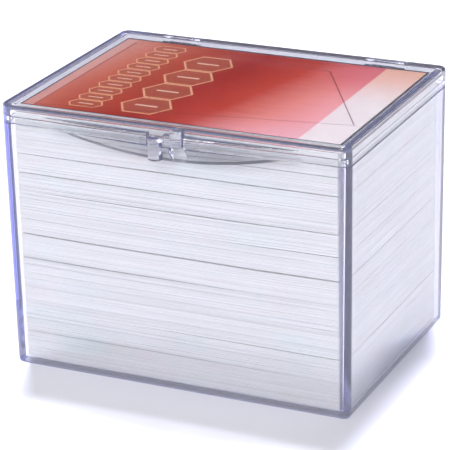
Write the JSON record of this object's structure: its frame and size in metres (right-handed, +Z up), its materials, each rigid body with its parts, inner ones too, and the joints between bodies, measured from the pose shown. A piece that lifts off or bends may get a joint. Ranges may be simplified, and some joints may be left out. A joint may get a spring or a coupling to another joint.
{
  "type": "hinged card box",
  "caption": "Clear hinged box for a deck of collecting cards, with a shallow lid, two finger knobs at the front and the deck inside.",
  "frame": {"origin": "centre of the box's underside, midway between its left and right walls and its front and back walls at the rim", "axes": "+X along the front to the right, +Y from the front with the finger knobs to the hinge, +Z up"},
  "size_m": [0.0958, 0.0756, 0.0725],
  "materials": {
    "clear_tray": "gloss",
    "clear_lid": "gloss",
    "card_stock": "satin",
    "card_face": "gloss"
  },
  "bodies": {
    "base": {"tray": "clear_tray", "card_bundle_01": "card_stock", "card_bundle_02": "card_stock", "card_bundle_03": "card_stock", "card_bundle_04": "card_stock", "card_bundle_05": "card_stock", "card_bundle_06": "card_stock", "card_bundle_07": "card_stock", "card_bundle_08": "card_stock", "card_bundle_09": "card_stock", "card_bundle_10": "card_stock", "card_bundle_11": "card_stock", "card_bundle_12": "card_stock", "card_bundle_13": "card_stock", "card_bundle_14": "card_stock", "card_bundle_15": "card_stock", "card_bundle_16": "card_stock", "card_bundle_17": "card_stock", "card_bundle_18": "card_stock", "card_bundle_19": "card_stock", "card_bundle_20": "card_stock", "face_card": "card_face"},
    "lid": {"lid": "clear_lid"}
  },
  "joints": [
    {"name": "lid_hinge", "type": "hinge", "parent": "base", "child": "lid", "pos_m": [0, 0.0352, 0.0673], "axis": [-1, 0, 0], "range_deg": [0, 180]}
  ]
}
